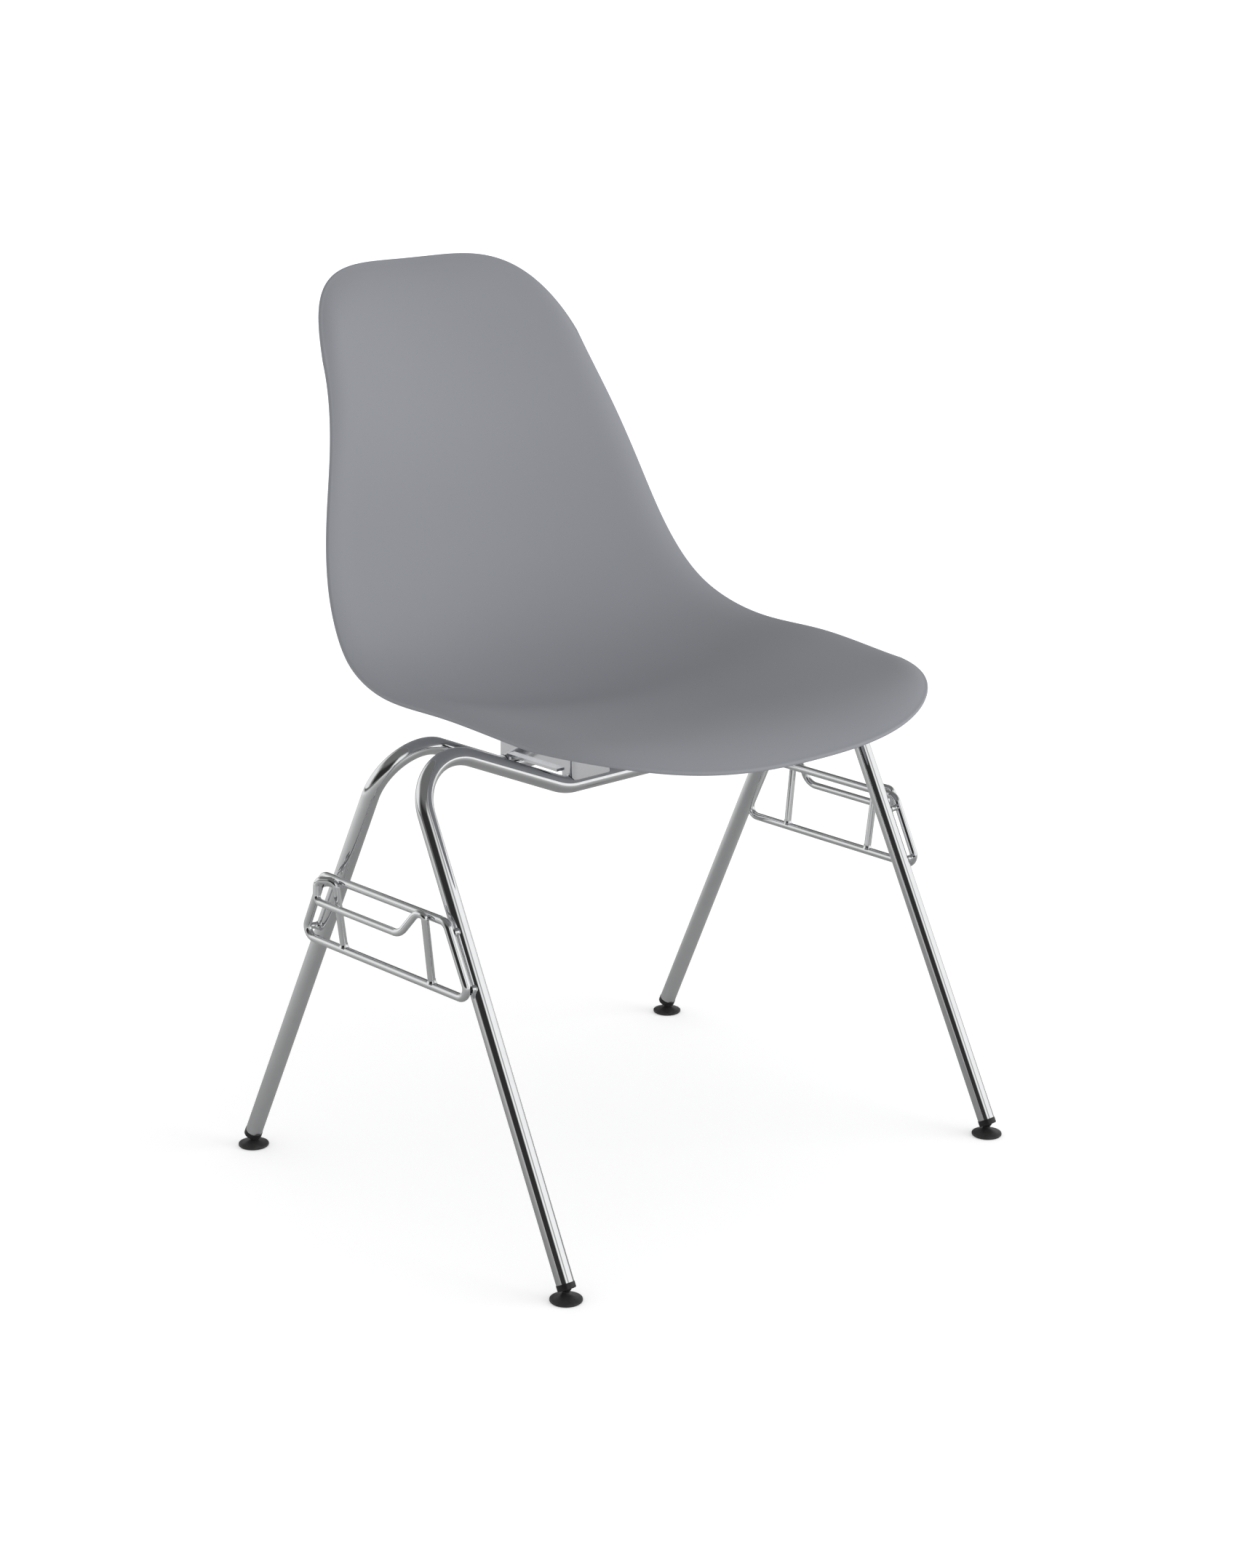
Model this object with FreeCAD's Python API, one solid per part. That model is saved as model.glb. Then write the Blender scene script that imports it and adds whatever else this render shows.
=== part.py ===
import FreeCAD, Part
import math
import os

os.makedirs("parts", exist_ok=True)
V = FreeCAD.Vector

# A moulded shell chair on a stacking and ganging tube base. Millimetres, +Z up, the sitter faces -Y.
# The outline is laid out with y = 0 midway between the two leg planes, and everything is moved by
# centre_y at the end so that the origin is the middle of the whole chair's footprint.

# Driving dimensions
centre_y = 24.83
fit_gap = 0.3           # between curved faces that touch on the real chair
run_gap = 0.08          # radial, ball in socket

tube_r = 7.95
tube_wall = 1.5
foot_x_front = 268.9
foot_y_front = -235.6
foot_x_rear = 268.7
foot_y_rear = 222.6
# Change of x and y for each mm up the leg
toe_in_front = -0.018
toe_in_rear = -0.025
lean_front = 0.505
lean_rear = -0.478
shoulder_z = 446.0
cross_x = 107.0
cross_y = 44.0
cross_z = 381.0
shoulder_bend = 45.0
cross_bend = 45.0
tube_step = 15.0        # degrees between the rings of a bend
rod_step = 22.5

ball_z = 13.0
ball_r = 5.0
neck_r = 2.4
foot_r = 14.3
foot_rim_h = 2.4
collar_r = 8.3
collar_below = 2.5      # collar face below the ball's centre, along the leg
collar_above = 3.0
plug_len = 20.0

loop_rod_r = 3.75
loop_aside = 2.65       # from the side of the front tube, at the floor, to the loops' middle
loop_x = foot_x_front + tube_r + loop_aside
loop_top_z = 303.9
loop_low_z = 240.8
loop_out = 6.0          # loop sides stand this far fore and aft of the legs
loop_bend = 9.5
stub_r = 3.0
stub_inset = 9.0        # from the top and low bars to the weld stubs

hook_rod_r = 3.4
hook_out = 15.0         # from the loop's middle to the hook's outer run
hook_run_x = loop_x + hook_out
hook_run_z = 285.0
hook_over = 2.5         # from the top bar's middle up to the hook's
hook_lean = 1.0         # how far a strut leans aside at its top
hook_lip = 9.0          # from a strut to the bend where the rod turns down again
strut_bend = 3.6
lip_bend = 5.0
hook_bend = 7.0
end_bend = 6.0
weld_foot = 1.6
# y of the rear strut, the front strut, the rear end and the front end of the outer run
hook_left_y = (55.0, -67.5, 74.0, -43.0)
hook_right_y = (55.5, -53.5, 43.0, -72.0)

saddle_deep = 2.45      # how far the bracket's ends reach down over the tubes
bracket_low_z = cross_z + tube_r - saddle_deep
bracket_deep = 21.5
bracket_half_x = 23.0
bracket_half_y = 52.0
bracket_round = 6.0
bracket_end = 16.0      # length of the walls at each end, beside the open side
bracket_open = 5.0      # height of the open side
bracket_lip = 5.5
plate_top_z = bracket_low_z + bracket_deep
plate_thick = 2.5
mount_x = 80.0
mount_y = 31.0
rubber_r = 16.0
rubber_tall = 16.0
rubber_waist = 4.0      # how far the middle draws in
boss_low_z = plate_top_z + rubber_tall
boss_r = 11.0
screw_r = 2.7
screw_play = 0.6
insert_r = 4.2
insert_len = 11.0
washer_r = 8.0
washer_t = 1.5
head_h = 3.6
head_r = 5.2
hex_r = 2.3

shell_thick = 4.6

# Middle line of the sitting surface, (y, z) from the front edge to the top of the back
middle_line = ((-252.5, 441.5), (-199, 453.5), (-125.5, 453), (-23.5, 441.5), (56, 431.5), (139.5, 456),
               (191.5, 525), (222, 648.5), (290.5, 807.5))
# Half width, and how far the sides rise, at eight even stations along that line
half_width = (225, 228, 233, 229, 213, 188, 155, 146)
side_rise = (8, 13, 32, 46, 46, 38, 28, 17)
# The rolled lip: how far it turns down, and where it starts across the width and along the line
lip_drop = 8.0
lip_start = 0.80
lip_length = 0.075
# The ends of the outline: depth along the line, and a power that is higher for a squarer end
front_corner = 0.17
front_power = 2.6
top_corner = 0.14
top_power = 4.0
corner_fill = 0.995     # keeps the outline from running square into the side


def unit(v):
    return V(v).multiply(1.0 / v.Length)


def spline(xs, ys):
    """Natural cubic through the given stations, returned as a function."""
    n = len(xs)
    h = [xs[i + 1] - xs[i] for i in range(n - 1)]
    lower = [0.0] * n
    diag = [1.0] * n
    upper = [0.0] * n
    rhs = [0.0] * n
    for i in range(1, n - 1):
        lower[i] = h[i - 1]
        diag[i] = 2 * (h[i - 1] + h[i])
        upper[i] = h[i]
        rhs[i] = 6 * ((ys[i + 1] - ys[i]) / h[i] - (ys[i] - ys[i - 1]) / h[i - 1])
    for i in range(1, n):
        k = lower[i] / diag[i - 1]
        diag[i] -= k * upper[i - 1]
        rhs[i] -= k * rhs[i - 1]
    m = [0.0] * n
    for i in range(n - 1, -1, -1):
        after = m[i + 1] if i + 1 < n else 0.0
        m[i] = (rhs[i] - upper[i] * after) / diag[i]

    def value(x):
        i = 0
        while i < n - 2 and x > xs[i + 1]:
            i += 1
        a = (xs[i + 1] - x) / h[i]
        b = (x - xs[i]) / h[i]
        bend = (a ** 3 - a) * m[i] + (b ** 3 - b) * m[i + 1]
        return a * ys[i] + b * ys[i + 1] + bend * h[i] ** 2 / 6
    return value


# Bent rods and tubes
def bend_stations(points, radii, step, closed=False):
    """Centre and direction of each ring: at the ends of the straight runs and every few degrees of a bend."""
    if closed:
        start = (points[0] + points[-1]) * 0.5
        points = [start] + list(points) + [start]
    out = [(points[0], unit(points[1] - points[0]))]
    for i in range(1, len(points) - 1):
        u = unit(points[i - 1] - points[i])
        w = unit(points[i + 1] - points[i])
        half = math.acos(max(-1.0, min(1.0, u.dot(w)))) / 2
        r = radii[i - 1]
        centre = points[i] + unit(u + w) * (r / math.sin(half))
        spoke = points[i] + u * (r / math.tan(half)) - centre
        turn = math.pi - 2 * half
        count = math.ceil(math.degrees(turn) / step)
        for k in range(count + 1):
            a = turn * k / count
            place = centre + spoke * math.cos(a) - u * (r * math.sin(a))
            out.append((place, unit(spoke * -math.sin(a) - u * (r * math.cos(a)))))
    if not closed:
        out.append((points[-1], unit(points[-1] - points[-2])))
    return out


def rod(points, radii, r, step=rod_step, closed=False):
    """Ruled loft through rings that are carried along the path without a twist."""
    x_axis = V(1, 0, 0)
    rings = []
    for place, along in bend_stations(points, radii, step, closed):
        x_axis = unit(x_axis - along * x_axis.dot(along))
        ring = Part.Circle(place, along, r)
        ring.XAxis = x_axis
        rings.append(Part.Wire([ring.toShape()]))
    return Part.makeLoft(rings, True, True, closed)


def revolved(rows, at, axis):
    """Solid of revolution from (radius, height) rows, stood at a point along an axis."""
    pts = [V(r, 0, z) for r, z in rows]
    face = Part.Face(Part.makePolygon(pts + [pts[0]]))
    solid = face.revolve(V(0, 0, 0), V(0, 0, 1), 360)
    solid.Placement = FreeCAD.Placement(at, FreeCAD.Rotation(V(0, 0, 1), axis))
    return solid


# Legs
def leg_point(front, side, z):
    if front:
        return V(side * (foot_x_front + toe_in_front * z), foot_y_front + lean_front * z, z)
    return V(side * (foot_x_rear + toe_in_rear * z), foot_y_rear + lean_rear * z, z)


def leg_axis(front, side):
    return unit(leg_point(front, side, 1.0) - leg_point(front, side, 0.0))


def ball_centre(front, side):
    return leg_point(front, side, ball_z)


def tube_end(front, side):
    return ball_centre(front, side) + leg_axis(front, side) * (collar_above + 0.05)


def tube_corners(front):
    y = -cross_y if front else cross_y
    return [tube_end(front, -1), leg_point(front, -1, shoulder_z), V(-cross_x, y, cross_z),
            V(cross_x, y, cross_z), leg_point(front, 1, shoulder_z), tube_end(front, 1)]


tube_radii = [shoulder_bend, cross_bend, cross_bend, shoulder_bend]


def leg_tube(front):
    corners = tube_corners(front)
    outer = rod(corners, tube_radii, tube_r, tube_step)
    return outer.cut(rod(corners, tube_radii, tube_r - tube_wall, tube_step))


def grown_tube(front):
    return rod(tube_corners(front), tube_radii, tube_r + fit_gap, tube_step)


# Glides: a plug with a socket in each tube end, and a foot on a ball that tilts in it
def glide_plug(front, side):
    core = tube_r - tube_wall - fit_gap
    low, high = -collar_below, collar_above
    tip = high + plug_len
    barb = plug_len / 3
    rows = [(0, low), (collar_r - 0.6, low), (collar_r, low + 0.6), (collar_r, high), (core - 0.5, high)]
    rows += [(core - 0.5, high + barb), (core, high + barb), (core - 0.5, high + 2 * barb)]
    rows += [(core, high + 2 * barb), (core - 1.5, tip), (0, tip)]
    at = ball_centre(front, side)
    axis = leg_axis(front, side)

    # Straight-sided socket whose flats just clear the ball
    corner = (ball_r + run_gap) / math.cos(math.radians(22.5))
    slope = corner * math.sin(math.radians(45))
    socket = [(0, low - 1), (ball_r + run_gap, low - 1), (ball_r + run_gap, corner - slope)]
    socket += [(slope, slope), (0, corner)]
    return revolved(rows, at, axis).cut(revolved(socket, at, axis))


def glide_foot(front, side):
    at = ball_centre(front, side)
    neck_top = ball_z - 0.6 * ball_r
    rows = [(0, 0), (foot_r - 1.0, 0), (foot_r, 1.0), (foot_r, foot_rim_h), (0.6 * foot_r, foot_rim_h + 2.2)]
    rows += [(neck_r, 0.5 * ball_z), (neck_r, neck_top), (0, neck_top)]
    foot = revolved(rows, V(at.x, at.y, 0), V(0, 0, 1))
    return foot.fuse(Part.makeSphere(ball_r, at))


# Ganging loops: a closed rod outside each pair of legs, on four short weld stubs
def loop_point(front, side, z):
    out = -loop_out if front else loop_out
    return V(side * loop_x, leg_point(front, side, z).y + out, z)


def gang_loop(side, grown_front, grown_rear):
    corners = [loop_point(True, side, loop_low_z), loop_point(True, side, loop_top_z),
               loop_point(False, side, loop_top_z), loop_point(False, side, loop_low_z)]
    loop = rod(corners, [loop_bend] * 4, loop_rod_r, closed=True)
    for front in (True, False):
        for z in (loop_low_z + stub_inset, loop_top_z - stub_inset):
            start = loop_point(front, side, z)
            on_axis = leg_point(front, side, z)
            along = leg_axis(front, side)
            near = on_axis + along * (start - on_axis).dot(along)
            stub = Part.makeCylinder(stub_r, (near - start).Length - 2.0, start, near - start)
            stub = stub.cut(grown_front if front else grown_rear)
            loop = loop.fuse(stub)
    return loop.removeSplitter()


# Ganging hooks: one rod each, up a strut, over the top bar, along outside it and down again
def hook_top_x():
    """Leaves a little more than the gap, because the struts lean out past the bar."""
    return loop_x + loop_rod_r + hook_rod_r + 2 * fit_gap


def gang_hook(side, ys):
    strut_rear, strut_front, run_rear, run_front = ys
    top_x = hook_top_x()
    top_z = loop_top_z + hook_over
    low_z = loop_low_z + loop_rod_r

    def end(strut, run, sign):
        low = V(side * loop_x, strut, low_z)
        top = V(side * top_x, strut + sign * hook_lean, top_z)
        turn = V(side * hook_run_x, run, hook_run_z)
        if sign * (run - strut) > 0:
            over = V(side * (hook_run_x - hook_lean), run, top_z - 2 * hook_lean)
            return [low, top, over, turn], [end_bend] * 3
        lip = V(side * (top_x + hook_lean), strut - sign * hook_lip, top_z)
        return [low, top, lip, turn], [strut_bend, lip_bend, hook_bend]

    rear, rear_r = end(strut_rear, run_rear, 1)
    front, front_r = end(strut_front, run_front, -1)
    points = rear + front[::-1]
    radii = rear_r + front_r[::-1]
    hook = rod(points, radii, hook_rod_r)
    bar_start = V(side * loop_x, 2 * strut_front, loop_low_z)
    bar_length = 2 * (strut_rear - strut_front)
    bar = Part.makeCylinder(loop_rod_r + fit_gap, bar_length, bar_start, V(0, 1, 0))
    for low in (rear[0], front[0]):
        weld = Part.makeCone(hook_rod_r + weld_foot, hook_rod_r, weld_foot + 1.0, low + V(0, 0, -1))
        hook = hook.fuse(weld)
    return hook.cut(bar).removeSplitter()


# Shell
chords = [0.0]
for (y0, z0), (y1, z1) in zip(middle_line, middle_line[1:]):
    chords.append(chords[-1] + math.hypot(y1 - y0, z1 - z0))
line_t = [c / chords[-1] for c in chords]
even_t = [i / (len(half_width) - 1) for i in range(len(half_width))]
line_y = spline(line_t, [p[0] for p in middle_line])
line_z = spline(line_t, [p[1] for p in middle_line])
width_at = spline(even_t, half_width)
rise_at = spline(even_t, side_rise)


def past(value, start):
    """How far value is past start, from 0 there to 1 at value 1, cubed."""
    return max(0.0, (value - start) / (1 - start)) ** 3


def end_depth(depth, power, a):
    """Superellipse that takes the end of the middle line back towards the sides."""
    return depth * (1 - math.sqrt(1 - (corner_fill * a) ** power))


def shell_point(rho, v):
    """Point on the sitting surface and the unit vector towards the sitter."""
    a = abs(rho)
    t0 = end_depth(front_corner, front_power, a)
    t1 = 1 - end_depth(top_corner, top_power, a)
    t = t0 + (t1 - t0) * v
    e = 1e-4
    dy = line_y(min(t + e, 1)) - line_y(max(t - e, 0))
    dz = line_z(min(t + e, 1)) - line_z(max(t - e, 0))
    n = unit(V(0, -dz, dy))
    side_lip = past(a, lip_start)
    end_lip = past(v, 1 - lip_length) + past(1 - v, 1 - lip_length)
    lip = 1 - (1 - side_lip) * (1 - end_lip)
    return V(rho * width_at(t), line_y(t), line_z(t)) + n * (rise_at(t) * a * a - lip_drop * lip), n


def cubic(points):
    curve = Part.BSplineCurve()
    curve.interpolate(Points=points, Parameters=[float(i) for i in range(len(points))])
    return curve


def patch(rows):
    """Smooth surface through a grid of points, with edges that depend only on the edge points."""
    across = [cubic(row) for row in rows]
    columns = list(zip(*[curve.getPoles() for curve in across]))
    along = [cubic(list(column)) for column in columns]
    u, v = across[0], along[0]
    surface = Part.BSplineSurface()
    surface.buildFromPolesMultsKnots([curve.getPoles() for curve in along],
                                     u.getMultiplicities(), v.getMultiplicities(),
                                     u.getKnots(), v.getKnots(), False, False, u.Degree, v.Degree)
    return surface.toShape()


def seat_shell():
    # Rows and columns of the surface draw together towards the rim, where it turns most
    columns = 14
    lines = 16
    spread = 1.3
    pull = 0.3
    rhos = [math.sin(spread * (2.0 * i / columns - 1)) / math.sin(spread) for i in range(columns + 1)]
    vs = [pull * (1 - math.cos(math.pi * j / lines)) / 2 + (1 - pull) * j / lines for j in range(lines + 1)]
    grid = [[shell_point(rho, v) for rho in rhos] for v in vs]
    upper = [[p for p, n in row] for row in grid]
    lower = [[p - n * shell_thick for p, n in row] for row in grid]

    # The rim rounds off between the two skins, on one closed ring of edge points
    ring = [(0, i) for i in range(columns)] + [(j, columns) for j in range(lines)]
    ring += [(lines, i) for i in range(columns, 0, -1)] + [(j, 0) for j in range(lines, 0, -1)]
    count = len(ring)
    bands = [[], [], [], []]
    for k in range(count + 1):
        j, i = ring[k % count]
        jn, im = ring[(k + 1) % count]
        jp, ip = ring[(k - 1) % count]
        top, bottom = upper[j][i], lower[j][i]
        n = unit(top - bottom)
        out = unit(unit(upper[jn][im] - upper[jp][ip]).cross(n))
        middle = (top + bottom) * 0.5
        for band, deg in zip(bands, (90, 30, -30, -90)):
            a = math.radians(deg)
            band.append(middle + (n * math.sin(a) + out * math.cos(a)) * (shell_thick / 2))
    stops = [0, columns, columns + lines, 2 * columns + lines, count]
    faces = patch(upper).Faces + patch(lower).Faces
    for first, last in zip(stops, stops[1:]):
        edges = [cubic(band[first:last + 1]).toShape() for band in bands]
        faces += [Part.makeRuledSurface(a, b) for a, b in zip(edges, edges[1:])]
    skin = Part.makeShell(faces)
    skin.sewShape(0.01)
    body = Part.makeSolid(skin.Shells[0])
    if body.Volume < 0:
        body.reverse()

    # Moulded bosses under the seat, one over each rubber mount, cut off where they meet the shell
    boss_reach = middle_line[0][1] + shoulder_z - 2 * boss_low_z
    for x in (-mount_x, mount_x):
        for y in (-mount_y, mount_y):
            column = Part.makeCylinder(boss_r, boss_reach, V(x, y, boss_low_z))
            under = min(column.cut(body).Solids, key=lambda s: s.CenterOfMass.z)
            body = body.fuse(under)
            hole = Part.makeCylinder(insert_r + fit_gap, insert_len + 0.5, V(x, y, boss_low_z))
            body = body.cut(hole)
    return body


# Under the seat
def bracket(side, grown_front, grown_rear):
    """Pressed tray that straddles both tubes, with a turned lip along its outer edge."""
    depth = plate_top_z - bracket_low_z
    low = V(side * mount_x - bracket_half_x, -bracket_half_y, bracket_low_z)
    outer = Part.makeBox(2 * bracket_half_x, 2 * bracket_half_y, depth, low)
    uprights = [e for e in outer.Edges if abs(e.BoundBox.ZLength - depth) < 0.01]
    outer = outer.makeFillet(bracket_round, uprights)
    inset = V(plate_thick, plate_thick, 0)
    inner = Part.makeBox(2 * (bracket_half_x - plate_thick), 2 * (bracket_half_y - plate_thick),
                         depth - plate_thick, low + inset)
    uprights = [e for e in inner.Edges if abs(e.BoundBox.ZLength - depth + plate_thick) < 0.01]
    inner = inner.makeFillet(bracket_round - plate_thick, uprights)
    tray = outer.cut(inner)
    open_y = bracket_half_y - bracket_end
    window = Part.makeBox(4 * bracket_half_x, 2 * open_y, bracket_open,
                          V(side * mount_x - 2 * bracket_half_x, -open_y, bracket_low_z))
    tray = tray.cut(window)
    edge = side * (mount_x + bracket_half_x)
    lip_x = min(edge - side * 1.0, edge + side * (bracket_lip - 1.0))
    lip_y = open_y - 2.0
    lip = Part.makeBox(bracket_lip, 2 * lip_y, plate_thick, V(lip_x, -lip_y, bracket_low_z + bracket_open))
    tray = tray.fuse(lip)
    for y in (-mount_y, mount_y):
        hole_low = V(side * mount_x, y, plate_top_z - 1.5 * plate_thick)
        tray = tray.cut(Part.makeCylinder(screw_r + screw_play, 2 * plate_thick, hole_low))
    return tray.cut(grown_front).cut(grown_rear).removeSplitter()


def rubber_mount(x, y):
    tall = rubber_tall
    bore = screw_r + screw_play
    rim = rubber_r - rubber_waist / 4
    rows = [(bore, 0), (rubber_r, 0), (rubber_r, tall / 4), (rubber_r - rubber_waist, tall / 2)]
    rows += [(rim, 0.75 * tall), (rim, tall), (bore, tall)]
    return revolved(rows, V(x, y, plate_top_z), V(0, 0, 1))


mount_places = [(x, y) for x in (-mount_x, mount_x) for y in (-mount_y, mount_y)]
washer_top = plate_top_z - plate_thick


def screws():
    out = []
    for x, y in mount_places:
        head_z = washer_top - washer_t - head_h
        tip = boss_low_z + insert_len - 1.5 - head_z
        rows = [(0, 0), (head_r - 0.8, 0), (head_r, 0.8), (head_r, head_h), (screw_r, head_h)]
        rows += [(screw_r, tip - 0.8), (screw_r - 0.8, tip), (0, tip)]
        screw = revolved(rows, V(x, y, head_z), V(0, 0, 1))
        turns = [math.radians(60 * i) for i in range(7)]
        hexagon = Part.makePolygon([V(x + hex_r * math.cos(a), y + hex_r * math.sin(a), head_z) for a in turns])
        out.append(screw.cut(Part.Face(hexagon).extrude(V(0, 0, 0.6 * head_h))))
    return Part.makeCompound(out)


def washers():
    rows = [(screw_r + fit_gap, 0), (washer_r, 0), (washer_r, washer_t), (screw_r + fit_gap, washer_t)]
    return Part.makeCompound([revolved(rows, V(x, y, washer_top - washer_t), V(0, 0, 1))
                              for x, y in mount_places])


def inserts():
    bore = screw_r + fit_gap
    out = []
    for x, y in mount_places:
        rows = [(bore, 0), (insert_r, 0), (insert_r, insert_len), (bore, insert_len)]
        out.append(revolved(rows, V(x, y, boss_low_z), V(0, 0, 1)))
    return Part.makeCompound(out)


# Build and save every piece
def save(name, shape):
    shape = shape.copy()
    shape.translate(V(0, -centre_y, 0))
    shape.exportStep("parts/" + name + ".step")
    box = shape.BoundBox
    print(name, len(shape.Solids), "valid" if shape.isValid() else "NOT VALID", round(shape.Volume),
          [round(v, 1) for v in (box.XMin, box.YMin, box.ZMin, box.XMax, box.YMax, box.ZMax)])


grown = {True: grown_tube(True), False: grown_tube(False)}
save("seat_shell", seat_shell())
save("front_leg_tube", leg_tube(True))
save("rear_leg_tube", leg_tube(False))
for side, word in ((-1, "left"), (1, "right")):
    save("bracket_" + word, bracket(side, grown[True], grown[False]))
    save("gang_loop_" + word, gang_loop(side, grown[True], grown[False]))
    save("gang_hook_" + word, gang_hook(side, hook_left_y if side < 0 else hook_right_y))
    for front, end in ((True, "front"), (False, "rear")):
        save("glide_plug_" + end + "_" + word, glide_plug(front, side))
        save("glide_foot_" + end + "_" + word, glide_foot(front, side))
        place_y = -mount_y if front else mount_y
        save("rubber_mount_" + end + "_" + word, rubber_mount(side * mount_x, place_y))
save("mount_screws", screws())
save("mount_washers", washers())
save("threaded_inserts", inserts())
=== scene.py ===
import math

import bmesh
import bpy
import numpy as np
from mathutils import Matrix, Vector


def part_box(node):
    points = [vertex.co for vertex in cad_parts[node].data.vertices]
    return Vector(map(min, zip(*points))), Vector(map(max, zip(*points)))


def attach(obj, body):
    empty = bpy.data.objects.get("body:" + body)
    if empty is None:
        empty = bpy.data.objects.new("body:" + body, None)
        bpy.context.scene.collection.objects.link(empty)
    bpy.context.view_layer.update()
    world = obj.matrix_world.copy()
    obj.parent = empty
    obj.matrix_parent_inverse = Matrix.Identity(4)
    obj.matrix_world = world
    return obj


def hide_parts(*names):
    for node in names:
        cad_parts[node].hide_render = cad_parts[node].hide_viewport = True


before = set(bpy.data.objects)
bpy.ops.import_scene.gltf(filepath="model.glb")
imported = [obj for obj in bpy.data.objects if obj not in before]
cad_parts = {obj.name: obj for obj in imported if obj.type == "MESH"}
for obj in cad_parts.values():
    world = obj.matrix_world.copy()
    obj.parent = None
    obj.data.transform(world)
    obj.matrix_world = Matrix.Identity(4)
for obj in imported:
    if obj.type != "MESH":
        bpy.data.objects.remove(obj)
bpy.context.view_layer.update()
metresPerMm = 0.001
sideWords = {-1: "left", 1: "right"}
endWords = ("front", "rear")

# Sizes below are in millimetres, laid out about the middle of the four legs.
# The CAD frame has its origin under the middle of the whole chair, so everything shifts along y.


# Grids, paths and meshes
def gridFaces(rows, columns, wrapRows=False, wrapColumns=False):
    # One quad for each cell of a grid of rows x columns points
    i = np.arange(rows if wrapRows else rows - 1)
    j = np.arange(columns if wrapColumns else columns - 1)
    a, b = np.meshgrid(i, j, indexing="ij")
    c = (a + 1) % rows
    d = (b + 1) % columns
    return np.stack([a * columns + b, c * columns + b, c * columns + d, a * columns + d], -1).reshape(-1, 4)


def unitRows(v):
    return v / np.linalg.norm(v, axis=-1, keepdims=True)


def bentPath(corners, radii, closed=False, step=4.0):
    # Straight runs joined by arcs: on each arc p = c + r (cos(a) u + sin(a) w), a from 0 to the turn
    corners = [np.asarray(p, float) for p in corners]
    if closed:
        start = (corners[0] + corners[-1]) / 2
        corners = [start] + corners + [start]
    runs = [corners[0][None]]
    for i in range(1, len(corners) - 1):
        u = unitRows(corners[i - 1] - corners[i])
        w = unitRows(corners[i + 1] - corners[i])
        half = math.acos(float(np.clip(u @ w, -1, 1))) / 2
        radius = radii[i - 1]
        centre = corners[i] + unitRows(u + w) * radius / math.sin(half)
        first = corners[i] + u * radius / math.tan(half) - centre
        turn = math.pi - 2 * half
        count = max(2, int(math.degrees(turn) / step) + 1)
        a = np.linspace(0, turn, count + 1)[:, None]
        runs.append(centre + first * np.cos(a) - u * radius * np.sin(a))
    if not closed:
        runs.append(corners[-1][None])
    return np.concatenate(runs)


def carriedFrames(path, closed=False):
    # Two directions square to the path, carried from point to point with no twist
    if closed:
        tangents = unitRows(np.roll(path, -1, 0) - np.roll(path, 1, 0))
    else:
        steps = unitRows(np.diff(path, axis=0))
        tangents = unitRows(np.concatenate([steps[:1], steps[1:] + steps[:-1], steps[-1:]]))
    axis = np.eye(3)[np.argmin(np.abs(tangents[0]))]
    normal = unitRows(np.cross(tangents[0], axis))
    normals = []
    for tangent in tangents:
        normal = unitRows(normal - tangent * (normal @ tangent))
        normals.append(normal)
    normals = np.array(normals)
    return normals, np.cross(tangents, normals)


def sweptRod(path, radius, sides=32, closed=False):
    # Surface p(s) + r (n(s) cos(a) + b(s) sin(a)), with a fan of faces over each open end
    normals, sideways = carriedFrames(path, closed)
    a = np.linspace(0, 2 * math.pi, sides, endpoint=False)
    ring = normals[:, None] * np.cos(a)[:, None] + sideways[:, None] * np.sin(a)[:, None]
    points = (path[:, None] + radius * ring).reshape(-1, 3)
    faces = gridFaces(len(path), sides, wrapRows=closed, wrapColumns=True)
    if closed:
        return points, faces.tolist()
    last = len(points) - sides
    caps = [list(range(sides)), list(range(last, last + sides))]
    return points, faces.tolist() + caps


def turned(profile, at, axis, sides=64):
    # Surface of revolution: radius and height from the profile, turned about the axis through at
    profile = np.asarray(profile, float)
    a = np.linspace(0, 2 * math.pi, sides, endpoint=False)
    flat = np.stack([profile[:, :1] * np.cos(a), profile[:, :1] * np.sin(a),
                     np.repeat(profile[:, 1:], sides, 1)], -1).reshape(-1, 3)
    turn = np.array(Vector((0, 0, 1)).rotation_difference(Vector(axis)).to_matrix())
    return flat @ turn.T + np.asarray(at, float), gridFaces(len(profile), sides, wrapColumns=True).tolist()


def rounded(corners, radii):
    # A turned profile: (radius, height) corners, each rounded by its own radius
    flat = [(r, 0, z) for r, z in corners]
    return bentPath(flat, radii, step=15.0)[:, [0, 2]]


def joined(parts):
    # Several (points, faces) pairs as one
    points = []
    faces = []
    start = 0
    for p, f in parts:
        points.append(p)
        faces += [[start + i for i in face] for face in f]
        start += len(p)
    return np.concatenate(points), faces


def makePiece(name, surface, sharpAngle=40.0):
    # A mesh object at the origin, with doubles merged, faces outwards and crisp edges kept
    points, faces = surface
    mesh = bpy.data.meshes.new(name)
    mesh.from_pydata((points + [0, shiftY, 0]) * metresPerMm, [], faces)
    work = bmesh.new()
    work.from_mesh(mesh)
    bmesh.ops.remove_doubles(work, verts=work.verts, dist=1e-6)
    bmesh.ops.recalc_face_normals(work, faces=work.faces)
    work.to_mesh(mesh)
    work.free()
    mesh.shade_smooth()
    mesh.set_sharp_from_angle(angle=math.radians(sharpAngle))
    piece = bpy.data.objects.new(name, mesh)
    bpy.context.scene.collection.objects.link(piece)
    return piece


def finishPiece(piece, material, body, slot, *nodes):
    piece.data.materials.append(material)
    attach(piece, body)
    if nodes:
        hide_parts(*nodes)


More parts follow.
